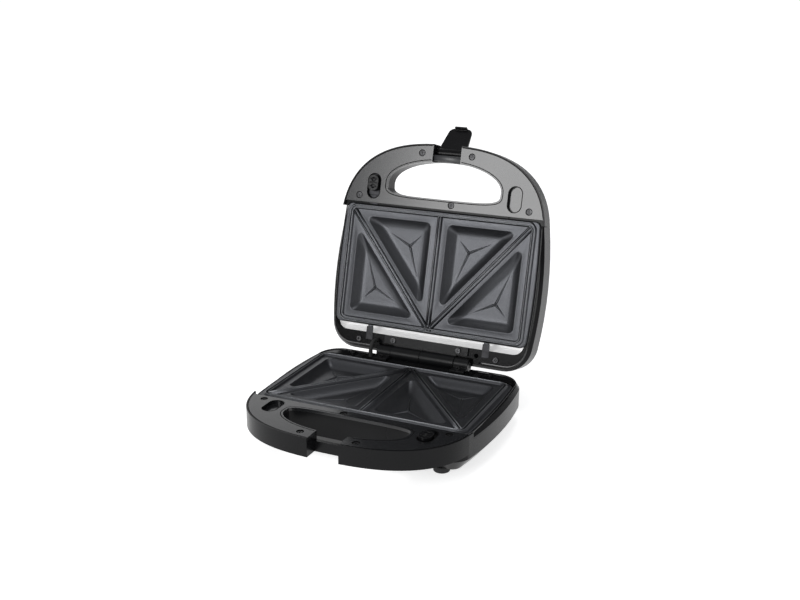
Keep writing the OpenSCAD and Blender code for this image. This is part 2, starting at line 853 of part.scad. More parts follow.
module feet() color("#111213") on_base() for (p = feet_at) translate([p[0], p[1], -base_depth]) difference() {
  translate([0, 0, -foot_h]) cylinder(h = foot_h, r = foot_r, $fn = round_fn);
  translate([0, 0, -foot_h - 1]) cylinder(h = foot_h + 1 - foot_floor, r = 3.6, $fn = round_fn);
  translate([0, 0, -foot_h]) cylinder(h = foot_h + 1, r = 1.7, $fn = round_fn);
}

module foot_screws() color("silver") on_base() for (p = feet_at)
  translate([p[0], p[1], -base_depth - foot_floor - 1.8]) rotate([180, 0, 0]) screw(foot_screw_l, 1.5, 3.2, 1.6);

// ---------- hinge ----------

module base_knuckle() {
  difference() {
    union() {
      along_x(knuckle_in, knuckle_l, knuckle_r);
      translate([knuckle_in, bracket_front, frame_top]) cube([knuckle_l, -bracket_front - 3, bracket_t]);
      translate([knuckle_in, -knuckle_r, frame_top]) cube([knuckle_l, knuckle_r, -frame_top]);
    }
    along_x(knuckle_in - 1, knuckle_l + 2, pin_r);
    translate([knuckle_screw_x, hinge_screw_y]) bore_down(0, 10, panel_screw_r + screw_fit);
  }
}

module base_hinge_right() color("#202123") on_base() base_knuckle();
module base_hinge_left() color("#202123") on_base() mirror([1, 0, 0]) base_knuckle();
module half_hinge_screws(x) both_x()
  translate([x, hinge_screw_y, frame_top + bracket_t + head_h]) screw(hinge_screw_l);
module base_hinge_screws() color("silver") on_base() half_hinge_screws(knuckle_screw_x);

module hinge_pin() color("silver") on_base()
  along_x(-knuckle_out + 0.5, 2 * knuckle_out - 1, pin_r - press_gap);

module lid_hinge_bracket() color("#202123") on_lid() difference() {
  union() {
    along_x(-barrel_half, 2 * barrel_half, barrel_r);
    translate([-barrel_half, bracket_front, frame_top])
      cube([2 * barrel_half, -bracket_front - 3, bracket_t]);
    translate([-bracket_half, bracket_front, frame_top])
      cube([2 * bracket_half, bracket_rear - bracket_front, bracket_t]);
    translate([-barrel_half, -barrel_r, frame_top]) cube([2 * barrel_half, barrel_r, -frame_top]);
  }
  along_x(-barrel_half - 1, 2 * barrel_half + 2, pin_r - press_gap + pin_fit);
  both_x() translate([bracket_screw_x, hinge_screw_y]) bore_down(0, 10, panel_screw_r + screw_fit);
  difference() {
    along_x(seam_x, 0.6, barrel_r + 1);
    along_x(seam_x - 1, 2, barrel_r - 0.5);
  }
}

module lid_hinge_screws() color("silver") on_lid() half_hinge_screws(bracket_screw_x);

// Sleeved leads from base to lid: up through the base frame, over, and into the lid frame
module hinge_lead() color("#0f1011") on_base() translate([-lead_x, 0, 0]) {
  fold = 180 - lid_open;
  bend_y = lead_y + lead_bend;
  translate([0, lead_y, lead_rise - lead_l]) lead_sleeve();
  translate([0, bend_y, lead_rise]) rotate([90, 0, 90]) rotate([0, 0, fold])
    rotate_extrude(angle = lid_open, $fn = 48) translate([lead_bend, 0]) circle(lead_r - 0.1, $fn = 24);
  translate([0, bend_y + lead_bend * cos(fold), lead_rise + lead_bend * sin(fold)])
    rotate([-lid_open, 0, 0]) translate([0, 0, -lead_lap]) lead_sleeve();
}
module lead_sleeve() cylinder(h = lead_l + lead_lap, r = lead_r, $fn = 24);

// ---------- plate catches ----------

// Spring strip: foot on the slide's side, see-saw bend, nose over the plate's lug
module half_plate_catch() translate([oval_x - catch_w / 2, 0, 0]) {
  nose_z = lug_top + seat;
  translate([0, catch_y - catch_t, tail_bottom]) cube([catch_w, catch_t, nose_z + catch_t - tail_bottom]);
  translate([0, catch_y - catch_t, nose_z]) cube([catch_w, plate_front - seat - catch_y + catch_t, catch_t]);
}
module base_plate_catch() color("#c2c4c7") on_base() half_plate_catch();
module lid_plate_catch() color("#c2c4c7") on_lid() half_plate_catch();

// Spring clips on the frame behind the plate, reaching over its rear lugs
module half_rear_clips() both_x() translate([clip_x - clip_w / 2, 0, 0]) {
  tip_y = plate_rear + rear_lug_reach - clip_over;
  tip_z = rear_lug_top + seat;
  foot_y = frame_open_rear + clip_back;
  translate([0, foot_y, frame_top]) cube([clip_w, clip_foot, clip_t]);
  translate([0, foot_y, frame_top]) cube([clip_w, clip_t, tip_z + clip_t - frame_top]);
  translate([0, tip_y, tip_z]) cube([clip_w, foot_y + clip_t - tip_y, clip_t]);
}
module base_rear_clips() color("#c2c4c7") on_base() half_rear_clips();
module lid_rear_clips() color("#c2c4c7") on_lid() half_rear_clips();

// ---------- release knobs ----------

module half_knob() translate([oval_x, knob_y]) difference() {
  slab(slide_top + seat / 2, panel_top + knob_rise) oval_2d(0, knob_l, knob_w);
  for (s = [-1, 1]) translate([0, s * 3.6, panel_top + knob_rise - 1.2]) cylinder(h = 2, r = 2, $fn = 24);
}
module base_release_knob() color("#0e0f10") on_base() half_knob();
module lid_release_knob() color("#0e0f10") on_lid() half_knob();

module half_slide() translate([oval_x, 0, 0]) {
  front = knob_y - knob_l / 2 - 2;
  translate([-slide_w / 2, front, slide_bottom]) cube([slide_w, slide_rear - front, slide_t]);
  translate([-4, slide_rear - tail_t, tail_bottom]) cube([8, tail_t, slide_top - tail_bottom - eps]);
  translate([0, knob_y]) slab(slide_top - eps, slide_top + seat / 2) square([6, 8], center = true);
}
module base_release_slide() color("#54565a") on_base() half_slide();
module lid_release_slide() color("#54565a") on_lid() half_slide();

// Small coil spring between the slide's tail and its post in the handle, drawn as a sleeve
module half_release_spring() translate([oval_x, spring_rear, spring_z]) rotate([90, 0, 0]) difference() {
  cylinder(h = spring_l, r = spring_r, $fn = round_fn);
  translate([0, 0, -1]) cylinder(h = spring_l + 2, r = spring_r - spring_wire, $fn = round_fn);
}
module base_release_spring() color("silver") on_base() half_release_spring();
module lid_release_spring() color("silver") on_lid() half_release_spring();

// ---------- lamps ----------

module lamp_lenses() on_lid() for (i = [0, 1]) color(i == 0 ? "#b3201c" : "#1f8a3a")
  translate([lamp_x[i], lamp_y, -lid_depth]) {
    translate([0, 0, -0.8]) cylinder(h = 0.8, r = lens_r + 1, $fn = round_fn);
    translate([0, 0, -eps]) cylinder(h = lens_l, r = lens_r, $fn = round_fn);
  }
module neon_lamps() color("#f0b070") on_lid() for (x = lamp_x)
  translate([x, lamp_y, -lid_depth + lens_l + seat]) cylinder(h = 8, r = 2.6, $fn = round_fn);

// ---------- latch ----------

module latch_pin() color("silver") on_lid()
  along_x(-gap_w / 2 - wall + 0.3, gap_w + 2 * wall - 0.6, latch_pin_r, latch_y, latch_z);

// Outline of the flap, from its pivot to its rounded tip
module flap_2d() {
  w = flap_half_w;
  r = flap_round;
  tip = flap_reach + hook_t;
  translate([-w, 0]) square([2 * w, tip - r]);
  translate([-w + r, 0]) square([2 * (w - r), tip]);
  both_x() translate([w - r, tip - r]) circle(r, $fn = round_fn);
}

// Flap in the pose it is stored in, thrown back from the handle: plate, barrel and hook
module latch_flap() color("#131415") on_lid()
  translate([0, latch_y, latch_z]) rotate([flap_open, 0, 0]) rotate([0, 0, 180]) difference() {
    union() {
      along_x(-flap_half_w, 2 * flap_half_w, latch_barrel_r);
      slab(-flap_t / 2, flap_t / 2) flap_2d();
      translate([-flap_half_w + flap_round, flap_reach, -flap_t / 2])
        cube([2 * (flap_half_w - flap_round), hook_t, flap_t + hook_l]);
    }
    along_x(-flap_half_w - 1, 2 * flap_half_w + 2, latch_pin_r + pin_fit);
  }

base_shell();
base_frame();
base_panel();
base_reflector();
base_heater();
base_heater_clips();
base_thermostat();
base_thermal_fuse();
terminal_block();
cord_gland();
base_panel_screws();
base_frame_screws();
feet();
foot_screws();
base_hinge_left();
base_hinge_right();
base_hinge_screws();
hinge_pin();
base_plate_catch();
base_rear_clips();
hinge_lead();
base_plate();
base_release_knob();
base_release_slide();
base_release_spring();
lid_shell();
lid_frame();
lid_panel();
lid_reflector();
lid_heater();
lid_heater_clips();
lid_panel_screws();
lid_frame_screws();
lid_hinge_bracket();
lid_hinge_screws();
lid_plate_catch();
lid_rear_clips();
lamp_lenses();
neon_lamps();
latch_pin();
lid_plate();
lid_release_knob();
lid_release_slide();
lid_release_spring();
latch_flap();
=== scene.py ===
import math

import bmesh
import bpy
import numpy as np
from mathutils import Matrix, Vector
from mathutils.geometry import tessellate_polygon


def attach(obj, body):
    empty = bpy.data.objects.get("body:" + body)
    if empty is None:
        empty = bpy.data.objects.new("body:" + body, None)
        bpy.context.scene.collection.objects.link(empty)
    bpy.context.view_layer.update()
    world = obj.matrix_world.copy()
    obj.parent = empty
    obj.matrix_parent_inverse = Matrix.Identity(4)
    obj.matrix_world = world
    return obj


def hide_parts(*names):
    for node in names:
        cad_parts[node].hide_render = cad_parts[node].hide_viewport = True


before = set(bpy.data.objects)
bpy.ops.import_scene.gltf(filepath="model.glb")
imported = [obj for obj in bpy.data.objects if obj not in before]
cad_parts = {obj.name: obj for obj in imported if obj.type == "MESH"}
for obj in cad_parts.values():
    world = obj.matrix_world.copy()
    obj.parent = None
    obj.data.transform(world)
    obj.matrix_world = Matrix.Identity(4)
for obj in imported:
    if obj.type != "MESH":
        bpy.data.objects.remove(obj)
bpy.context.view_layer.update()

# ---------------------------------------------------------------- camera
# The photograph's camera, worked out from the two sealing rims: 24 degrees to the right of the
# handle and 18 degrees above the worktop, a little over a metre away.
target = Vector((0.0069, -0.0122, 0.1341))
azimuth, elevation, roll = (math.radians(a) for a in (24.39, 17.90, 0.28))
distance, focal_px, frame_px, sensor_mm = 1.0672, 1079.8, 800, 36

camera = bpy.data.objects.new("camera", bpy.data.cameras.new("camera"))
bpy.context.scene.collection.objects.link(camera)
back = Vector((
    math.sin(azimuth) * math.cos(elevation),
    -math.cos(azimuth) * math.cos(elevation),
    math.sin(elevation),
))
camera.matrix_world = (
    Matrix.Translation(target + back * distance)
    @ (-back).to_track_quat("-Z", "Y").to_matrix().to_4x4()
    @ Matrix.Rotation(roll, 4, "Z")
)
camera.data.sensor_width = sensor_mm
camera.data.lens = focal_px * sensor_mm / frame_px
bpy.context.scene.camera = camera

# ---------------------------------------------------------------- worktop and lights
# A plain white worktop that runs to the horizon, lit so evenly that it is white everywhere, in a
# dim studio with a large softbox low in front of the lid, a weaker one behind and one overhead.
bpy.context.scene.view_settings.view_transform = "Standard"
bpy.context.scene.view_settings.look = "None"


def add_object(name, points, faces):
    """Object at the origin from points in metres and faces, shaded smooth."""
    mesh = bpy.data.meshes.new(name)
    mesh.from_pydata(np.asarray(points, float).reshape(-1, 3).tolist(), [], faces)
    mesh.shade_smooth()
    obj = bpy.data.objects.new(name, mesh)
    bpy.context.scene.collection.objects.link(obj)
    return obj


worktop_half = 30.0
worktop = add_object(
    "worktop",
    [(x * worktop_half, y * worktop_half, 0) for x, y in ((-1, -1), (1, -1), (1, 1), (-1, 1))],
    [(0, 1, 2, 3)],
)
laminate = bpy.data.materials.new("white_laminate")
laminate.use_nodes = True
laminate_shader = laminate.node_tree.nodes["Principled BSDF"]
laminate_shader.inputs["Base Color"].default_value = (0.92, 0.92, 0.92, 1)
laminate_shader.inputs["Roughness"].default_value = 0.7
laminate_shader.inputs["Specular IOR Level"].default_value = 0.1
laminate_shader.inputs["Emission Color"].default_value = (1, 1, 1, 1)
laminate_shader.inputs["Emission Strength"].default_value = 0.72
worktop.data.materials.append(laminate)

studio = bpy.data.worlds.new("studio")
studio.use_nodes = True
studio.node_tree.nodes["Background"].inputs["Color"].default_value = (0.97, 0.98, 1.0, 1)
studio.node_tree.nodes["Background"].inputs["Strength"].default_value = 0.38
bpy.context.scene.world = studio


def softbox(name, place, aim, width, height, power):
    """Rectangular area light that faces the point it is aimed at."""
    light = bpy.data.lights.new(name, "AREA")
    light.shape = "RECTANGLE"
    light.size, light.size_y, light.energy = width, height, power
    obj = bpy.data.objects.new(name, light)
    way = Vector(aim) - Vector(place)
    obj.matrix_world = Matrix.Translation(place) @ way.to_track_quat("-Z", "Y").to_matrix().to_4x4()
    bpy.context.scene.collection.objects.link(obj)


softbox("front_box", (-0.54, -1.85, 0.82), (0, 0.1, 0.15), 0.8, 0.8, 18)
softbox("back_box", (-1.15, 1.9, 0.78), (0, 0, 0.1), 1.0, 0.6, 1.9)
softbox("overhead", (0.1, 0.15, 1.9), (0, 0, 0), 0.6, 0.6, 5)

# ---------------------------------------------------------------- shells
# The two outer mouldings with the lower halves of the ring handles, injection moulded in glossy
# black plastic. Each carries its frame, its handle panel, the bosses for their screws and, in the
# base, the feet and the cord gland.
mm = 0.001
axis_y, mating_z, lid_open = 65.0, 45.0, 105.0


def on_base(points):
    """From the half frame in millimetres (X right, Y back, Z up, hinge axis at the origin)."""
    return (np.asarray(points, float).reshape(-1, 3) + (0, axis_y, mating_z)) * mm


def on_lid(points):
    """The same for the lid: turned over about Y, then thrown back about the hinge axis."""
    x, y, z = np.asarray(points, float).reshape(-1, 3).T
    c, s = math.cos(math.radians(lid_open)), math.sin(math.radians(lid_open))
    return np.column_stack((-x, y * c - z * s + axis_y, mating_z - y * s - z * c)) * mm


def finish(
    name, colour, rough, metal=0.0, mottle=(40, 0.1), smudge=(12, 0.04), grain=(900, 0.02), gloss=0.5,
):
    """Moulded or sheet finish: cloudy colour, patchy roughness and a fine grain, in Object metres.

    mottle is the scale and depth of the colour's clouds, smudge those of the roughness, and grain
    the scale and strength of the bump. gloss is the specular level.
    """
    material = bpy.data.materials.new(name)
    material.use_nodes = True
    nodes, links = material.node_tree.nodes, material.node_tree.links
    shader = nodes["Principled BSDF"]
    place = nodes.new("ShaderNodeTexCoord").outputs["Object"]

    def cloud(scale, low, high, detail=4):
        noise = nodes.new("ShaderNodeTexNoise")
        noise.inputs["Scale"].default_value = scale
        noise.inputs["Detail"].default_value = detail
        links.new(place, noise.inputs["Vector"])
        spread = nodes.new("ShaderNodeMapRange")
        spread.inputs["From Min"].default_value = 0.3
        spread.inputs["From Max"].default_value = 0.7
        spread.inputs["To Min"].default_value = low
        spread.inputs["To Max"].default_value = high
        links.new(noise.outputs["Fac"], spread.inputs["Value"])
        return spread.outputs["Result"]

    tone = nodes.new("ShaderNodeMix")
    tone.data_type = "RGBA"
    tone.inputs["A"].default_value = tuple(c * (1 - mottle[1]) for c in colour) + (1,)
    tone.inputs["B"].default_value = tuple(min(1, c * (1 + mottle[1])) for c in colour) + (1,)
    links.new(cloud(mottle[0], 0, 1), tone.inputs["Factor"])
    links.new(tone.outputs["Result"], shader.inputs["Base Color"])
    links.new(cloud(smudge[0], rough - smudge[1] / 2, rough + smudge[1] / 2), shader.inputs["Roughness"])
    bump = nodes.new("ShaderNodeBump")
    bump.inputs["Strength"].default_value = grain[1]
    bump.inputs["Distance"].default_value = 0.0005
    links.new(cloud(grain[0], 0, 1, 2), bump.inputs["Height"])
    links.new(bump.outputs["Normal"], shader.inputs["Normal"])
    shader.inputs["Metallic"].default_value = metal
    shader.inputs["Specular IOR Level"].default_value = gloss
    return material


def dressed(name, node, body, material, soften, steps=2):
    """Finished copy of a moulding: doubles merged, flat facets joined, edges rounded by soften mm.

    Sharp edges are those whose faces meet at more than 28 degrees; the rest shade smooth.
    """
    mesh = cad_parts[node].data.copy()
    mesh.name = name
    mesh.materials.clear()
    mesh.materials.append(material)
    merged = bmesh.new()
    merged.from_mesh(mesh)
    bmesh.ops.remove_doubles(merged, verts=merged.verts, dist=0.000005)
    bmesh.ops.dissolve_degenerate(merged, dist=0.000005, edges=merged.edges)
    bmesh.ops.dissolve_limit(merged, angle_limit=math.radians(0.4), verts=merged.verts, edges=merged.edges)
    for face in merged.faces:
        face.material_index = 0
    merged.to_mesh(mesh)
    merged.free()
    mesh.shade_smooth()
    mesh.set_sharp_from_angle(angle=math.radians(28))
    obj = bpy.data.objects.new(name, mesh)
    bpy.context.scene.collection.objects.link(obj)
    rounding = obj.modifiers.new("rounded_edges", "BEVEL")
    rounding.width = soften * mm
    rounding.segments = steps
    rounding.limit_method = "ANGLE"
    rounding.angle_limit = math.radians(28)
    rounding.miter_outer = "MITER_ARC"
    rounding.use_clamp_overlap = True
    flats = obj.modifiers.new("flat_faces_stay_flat", "WEIGHTED_NORMAL")
    flats.keep_sharp = True
    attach(obj, body)
    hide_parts(node)
    return obj


shell_black = finish(
    "shell_black", (0.005, 0.0051, 0.0056), 0.26,
    mottle=(30, 0.15), smudge=(9, 0.05), grain=(1400, 0.04), gloss=0.14,
)
dressed("base_shell_moulding", "base_shell", "base", shell_black, 0.6)
dressed("lid_shell_moulding", "lid_shell", "lid", shell_black, 0.6)

# ---------------------------------------------------------------- feet
# Four round rubber feet under the base, hollow below, each held by a pan-head screw.
foot_rubber = finish(
    "foot_rubber", (0.016, 0.016, 0.017), 0.72,
    mottle=(160, 0.2), smudge=(90, 0.1), grain=(2200, 0.25),
)
screw_steel = finish(
    "screw_steel", (0.50, 0.50, 0.52), 0.34, metal=1.0,
    mottle=(300, 0.12), smudge=(220, 0.2), grain=(3000, 0.12),
)
dressed("rubber_feet", "feet", "base", foot_rubber, 0.9, 3)
dressed("foot_screws_plated", "foot_screws", "base", screw_steel, 0.2)

# ---------------------------------------------------------------- mains parts
# Cord gland in the rear wall, a three-way terminal block beside it, and under the reflector a
# steatite-bodied thermostat and a thermal fuse in its cradle.
gland_black = finish("gland_black", (0.014, 0.014, 0.015), 0.4, mottle=(200, 0.15), grain=(1800, 0.12))
terminal_nylon = finish(
    "terminal_nylon", (0.72, 0.70, 0.62), 0.45,
    mottle=(150, 0.06), grain=(1500, 0.08),
)
steatite = finish("steatite", (0.58, 0.53, 0.42), 0.75, mottle=(240, 0.12), grain=(2600, 0.3))
fuse_sheet = finish(
    "fuse_sheet", (0.80, 0.81, 0.82), 0.28, metal=1.0,
    mottle=(150, 0.06), grain=(1500, 0.1),
)
dressed("cord_gland_bush", "cord_gland", "base", gland_black, 0.5)
dressed("terminal_block_nylon", "terminal_block", "base", terminal_nylon, 0.3)
dressed("thermostat_body", "base_thermostat", "base", steatite, 0.3)
dressed("thermal_fuse_body", "base_thermal_fuse", "base", fuse_sheet, 0.1)

# ---------------------------------------------------------------- reflector pans
# Pressed trays behind the heaters. Their rims lie under the frames, and a strip of each shows
# behind its plate. The finish is white and carries a faint painted glow, an emission, to keep the strip near
# white.
bright_sheet = finish(
    "bright_sheet", (0.98, 0.98, 0.98), 0.4, metal=0.0,
    mottle=(25, 0.05), smudge=(18, 0.12), grain=(1200, 0.06),
)
painted_glow_shader = bright_sheet.node_tree.nodes["Principled BSDF"]
# Painted light: a faint white emission makes the sheet glow, though it is no lamp.
painted_glow_shader.inputs["Emission Color"].default_value = (1, 1, 1, 1)
painted_glow_shader.inputs["Emission Strength"].default_value = 0.25
dressed("base_reflector_pan", "base_reflector", "base", bright_sheet, 0.3)
dressed("lid_reflector_pan", "lid_reflector", "lid", bright_sheet, 0.3)

# ---------------------------------------------------------------- heaters
# Tubular elements in heat-darkened steel sheaths, bent to one loop, each held down on its
# reflector by four saddle clips of zinc-plated strip.
heater_sheath = finish(
    "heater_sheath", (0.17, 0.15, 0.13), 0.5, metal=0.9,
    mottle=(60, 0.35), smudge=(50, 0.2), grain=(1600, 0.2),
)
zinc = finish(
    "zinc", (0.56, 0.57, 0.58), 0.36, metal=1.0,
    mottle=(90, 0.12), smudge=(70, 0.18), grain=(1400, 0.1),
)
for half in ("base", "lid"):
    dressed(half + "_heater_tube", half + "_heater", half, heater_sheath, 0.2)
    dressed(half + "_saddle_clips", half + "_heater_clips", half, zinc, 0.15)

# ---------------------------------------------------------------- frames
# Glossy black mouldings that close the shells round the plates. Their ledges carry the plates,
# their skirts stand on the shells' walls, and their tongues run in under the handle panels.
screw_black = finish(
    "screw_black", (0.05, 0.05, 0.052), 0.3, metal=0.9,
    mottle=(300, 0.2), smudge=(220, 0.2), grain=(3000, 0.12),
)
frame_black = finish(
    "frame_black", (0.004, 0.0041, 0.0045), 0.2,
    mottle=(35, 0.15), smudge=(14, 0.04), grain=(1500, 0.03), gloss=0.1,
)
for half in ("base", "lid"):
    dressed(half + "_frame_moulding", half + "_frame", half, frame_black, 0.5)
    dressed(half + "_frame_screws_black", half + "_frame_screws", half, screw_black, 0.2)

# ---------------------------------------------------------------- hinge
# A barrel with two lugs is screwed to the lid's frame and turns between two knuckles on the
# base's frame, on a steel pin. A sleeve with the leads bends over beside it.
hinge_black = finish(
    "hinge_black", (0.006, 0.0062, 0.0068), 0.34,
    mottle=(80, 0.12), smudge=(40, 0.1), grain=(1600, 0.12), gloss=0.18,
)
sleeve_black = finish("sleeve_black", (0.02, 0.02, 0.02), 0.8, mottle=(500, 0.4), grain=(2500, 0.5))
dressed("lid_hinge_barrel", "lid_hinge_bracket", "lid", hinge_black, 0.5)
dressed("left_knuckle", "base_hinge_left", "base", hinge_black, 0.5)
dressed("right_knuckle", "base_hinge_right", "base", hinge_black, 0.5)
dressed("hinge_pin_steel", "hinge_pin", "base", screw_black, 0.3)
dressed("base_hinge_screws_black", "base_hinge_screws", "base", screw_black, 0.2)
dressed("lid_hinge_screws_black", "lid_hinge_screws", "lid", screw_black, 0.2)
dressed("lead_sleeve_woven", "hinge_lead", "base", sleeve_black, 0.1)


# ---------------------------------------------------------------- toasting plates
# Two cast aluminium plates with a dark non-stick coating. A double-railed sealing rim runs round
# each, the same ridges divide it into four triangles, and each triangle has a pocket with sloping
# walls, whose floor carries three raised creases. The frames' ledges hold them at their edges.
rim_half, rim_front, rim_rear, rim_corner = 105.0, -155.0, -30.0, 7.0
plate_half, plate_front, plate_rear, plate_bow = 113.4, -158.5, -26.0, 870.0
face_z, plate_under, pocket_z = -2.2, -4.7, -9.7


class Casting:
    """Collects the surfaces of one piece as arrays of points with their faces."""

    def __init__(self):
        self.points, self.faces, self.count = [], [], 0

    def add(self, points, faces):
        points = np.asarray(points, float).reshape(-1, 3)
        self.points.append(points)
        self.faces += [tuple(int(i) + self.count for i in face) for face in faces]
        self.count += len(points)

    def rows(self, grid, flip=False, cap_first=False, cap_last=False):
        """Closed rows of points (row, point, xyz), with a flat end on the first or last one."""
        n, m = grid.shape[:2]
        i, j = np.meshgrid(np.arange(n - 1), np.arange(m), indexing="ij")
        k = (j + 1) % m
        faces = np.stack((i * m + j, i * m + k, (i + 1) * m + k, (i + 1) * m + j), -1).reshape(-1, 4).tolist()
        if cap_first:
            faces.append(list(range(m))[::-1])
        if cap_last:
            faces.append([(n - 1) * m + i for i in range(m)])
        self.add(grid, [face[::-1] for face in faces] if flip else faces)

    def build(self, name, place, weld=0.00002):
        """One object of everything collected, its doubles merged and its faces shaded smooth."""
        mesh = bpy.data.meshes.new(name)
        mesh.from_pydata(place(np.concatenate(self.points)).tolist(), [], self.faces)
        merged = bmesh.new()
        merged.from_mesh(mesh)
        bmesh.ops.remove_doubles(merged, verts=merged.verts, dist=weld)
        bmesh.ops.dissolve_degenerate(merged, dist=weld, edges=merged.edges)
        bmesh.ops.recalc_face_normals(merged, faces=merged.faces)
        for face in merged.faces:
            face.smooth = True
        merged.to_mesh(mesh)
        merged.free()
        obj = bpy.data.objects.new(name, mesh)
        bpy.context.scene.collection.objects.link(obj)
        return obj


def cell_rings(rings, along=14, round_corner=7):
    """Nested rounded triangles as an array (ring, point, xyz), with the right angle at the origin.

    A row of rings holds the distance of the sides from the two legs, their distance from the long
    side, the radii of the three corners, and the height. Each corner is an arc about a centre that
    lies one radius further in than its sides, and the sides run straight from arc to arc.
    """
    rings = np.asarray(rings, float)
    leg, long_side, r, z = rings[:, 0:1], rings[:, 1:2], rings[:, 2:5], rings[:, 5]
    w, d = rim_half, rim_rear - rim_front
    slant = math.hypot(w, d) / (w * d)
    inner, slope = leg + r, 1 - (long_side + r) * slant
    centres = np.stack((
        np.stack((inner[:, 0], inner[:, 0]), 1),
        np.stack((w * (slope[:, 1] - inner[:, 1] / d), inner[:, 1]), 1),
        np.stack((inner[:, 2], d * (slope[:, 2] - inner[:, 2] / w)), 1),
    ), 1)
    tilt = math.atan2(w, d)
    start = np.array([math.pi, 1.5 * math.pi, tilt])
    turn = np.array([0.5 * math.pi, 0.5 * math.pi + tilt, math.pi - tilt])
    angle = start[:, None] + turn[:, None] * np.linspace(0, 1, round_corner)
    circle = np.stack((np.cos(angle), np.sin(angle)), -1)
    arcs = centres[:, :, None] + r[:, :, None, None] * circle
    s = np.linspace(0, 1, along + 2)[1:-1, None]
    ends, nexts = arcs[:, :, -1:], np.roll(arcs[:, :, :1], -1, axis=1)
    flat = np.concatenate((arcs, ends + (nexts - ends) * s), 2).reshape(len(rings), -1, 2)
    return np.concatenate((flat, np.broadcast_to(z[:, None, None], flat.shape[:2] + (1,))), 2)


def four_cells(grid):
    """The cell's rows set into the four triangles, with a flag for those that are mirror images."""
    x, y, z = grid[..., 0], grid[..., 1], grid[..., 2]
    yield np.stack((x, rim_front + y, z), -1), False
    yield np.stack((-x, rim_front + y, z), -1), True
    yield np.stack((rim_half - x, rim_rear - y, z), -1), False
    yield np.stack((x - rim_half, rim_rear - y, z), -1), True


def bowed_outline(half, front, rear, front_r, rear_r, bow, inset, steps=9, side=16):
    """Closed outline with bowed sides: front corner arc, side arc, rear corner arc, mirrored.

    The side is a circle of radius bow that bulges to half at the middle, and the corner circles
    touch it from inside. Moving the outline in takes the inset off every radius.
    """
    middle = (front + rear) / 2
    b, fr, rr = bow - inset, max(front_r - inset, 0.05), max(rear_r - inset, 0.05)
    cx = half - bow
    fy, ry = front + inset + fr, rear - inset - rr
    fx = cx + math.sqrt((b - fr) ** 2 - (fy - middle) ** 2)
    rx = cx + math.sqrt((b - rr) ** 2 - (ry - middle) ** 2)
    af, ar = math.atan2(fy - middle, fx - cx), math.atan2(ry - middle, rx - cx)

    def arc(x, y, r, a0, a1, n):
        a = np.linspace(a0, a1, n)
        return np.stack((x + r * np.cos(a), y + r * np.sin(a)), 1)

    right = np.concatenate((
        arc(fx, fy, fr, -math.pi / 2, af, steps),
        arc(cx, middle, b, af, ar, side)[1:-1],
        arc(rx, ry, rr, ar, math.pi / 2, steps),
    ))
    return np.concatenate((right, right[::-1] * (-1, 1)))


def cells_border(along=14):
    """Closed loop of the points that the four cells have on the rectangle of the rim's middle line."""
    n = along + 1
    x = np.linspace(-1, 1, 2 * n + 1)[:-1] * rim_half
    y = np.linspace(rim_front, rim_rear, n + 1)[:-1]
    sides = (
        (x, np.full(2 * n, rim_front)), (np.full(n, rim_half), y),
        (-x, np.full(2 * n, rim_rear)), (np.full(n, -rim_half), y[::-1]),
    )
    loop = np.concatenate([np.stack(side, 1) for side in sides])
    loop[-n:, 1] = np.linspace(rim_rear, rim_front, n + 1)[:-1]
    return loop


def flange(casting, outline, z, flip):
    """Flat ring between the cells' border and an outline, cut into triangles."""
    border = cells_border()
    loops = [np.column_stack((loop, np.full(len(loop), z))) for loop in (outline, border)]
    triangles = tessellate_polygon([[Vector(p) for p in loop] for loop in loops])
    points = np.concatenate(loops)
    a, b, c = (points[[t[i] for t in triangles]][:, :2] for i in range(3))
    turn = (b - a)[:, 0] * (c - a)[:, 1] - (b - a)[:, 1] * (c - a)[:, 0]
    casting.add(points, [t[::-1] if (up < 0) != flip else t for t, up in zip(triangles, turn)])


def swept_band(path, outward, profile):
    """Profile of (offset, height) carried along a closed path, offset along its outward normal."""
    s, z = np.asarray(profile, float).T
    flat = path[None] + s[:, None, None] * outward[None]
    return np.concatenate((flat, np.broadcast_to(z[:, None, None], flat.shape[:2] + (1,))), 2)


def add_rails(casting, profile):
    """The rim's double rail round a rounded rectangle, and the ridges' rails between its sides."""
    turns = np.linspace(0, 1, 9)
    corners = [
        (rim_half, rim_front, -0.5), (rim_half, rim_rear, 0.0),
        (-rim_half, rim_rear, 0.5), (-rim_half, rim_front, 1.0),
    ]
    path, outward = [], []
    for x, y, a in corners:
        inwards = rim_corner if y == rim_front else -rim_corner
        centre = np.array([x - math.copysign(rim_corner, x), y + inwards])
        angle = (a + turns / 2) * math.pi
        way = np.stack((np.cos(angle), np.sin(angle)), 1)
        path.append(centre + rim_corner * way)
        outward.append(way)
    casting.rows(swept_band(np.concatenate(path), np.concatenate(outward), profile), flip=True)

    ends = [((0, rim_front + 1.4), (0, rim_rear - 1.4))]
    along = np.array([rim_half, rim_front - rim_rear]) / math.hypot(rim_half, rim_rear - rim_front)
    for side in (-1, 1):
        near = np.array([0, rim_rear]) + (along * 2.0) * (side, 1)
        far = np.array([side * rim_half, rim_front]) - along * (side, 1) * 4.3
        ends.append((far, near))
    s, z = np.asarray(profile, float).T
    for near, far in ends:
        near, far = np.array(near, float), np.array(far, float)
        way = (far - near) / np.linalg.norm(far - near)
        across = np.array([way[1], -way[0]])
        stations = near + (far - near) * np.linspace(0, 1, 5)[:, None]
        flat = stations[:, None] + s[None, :, None] * across
        rows = np.concatenate((flat, np.broadcast_to(z[None, :, None], flat.shape[:2] + (1,))), 2)
        casting.rows(rows, cap_first=True, cap_last=True)


def turned(centre, profile, n=24):
    """Profile of (radius, height) turned about an upright axis."""
    a = np.linspace(0, 2 * math.pi, n, endpoint=False)
    r, z = np.asarray(profile, float).T
    return np.stack((
        centre[0] + r[:, None] * np.cos(a),
        centre[1] + r[:, None] * np.sin(a),
        np.broadcast_to(z[:, None], (len(r), n)),
    ), -1)


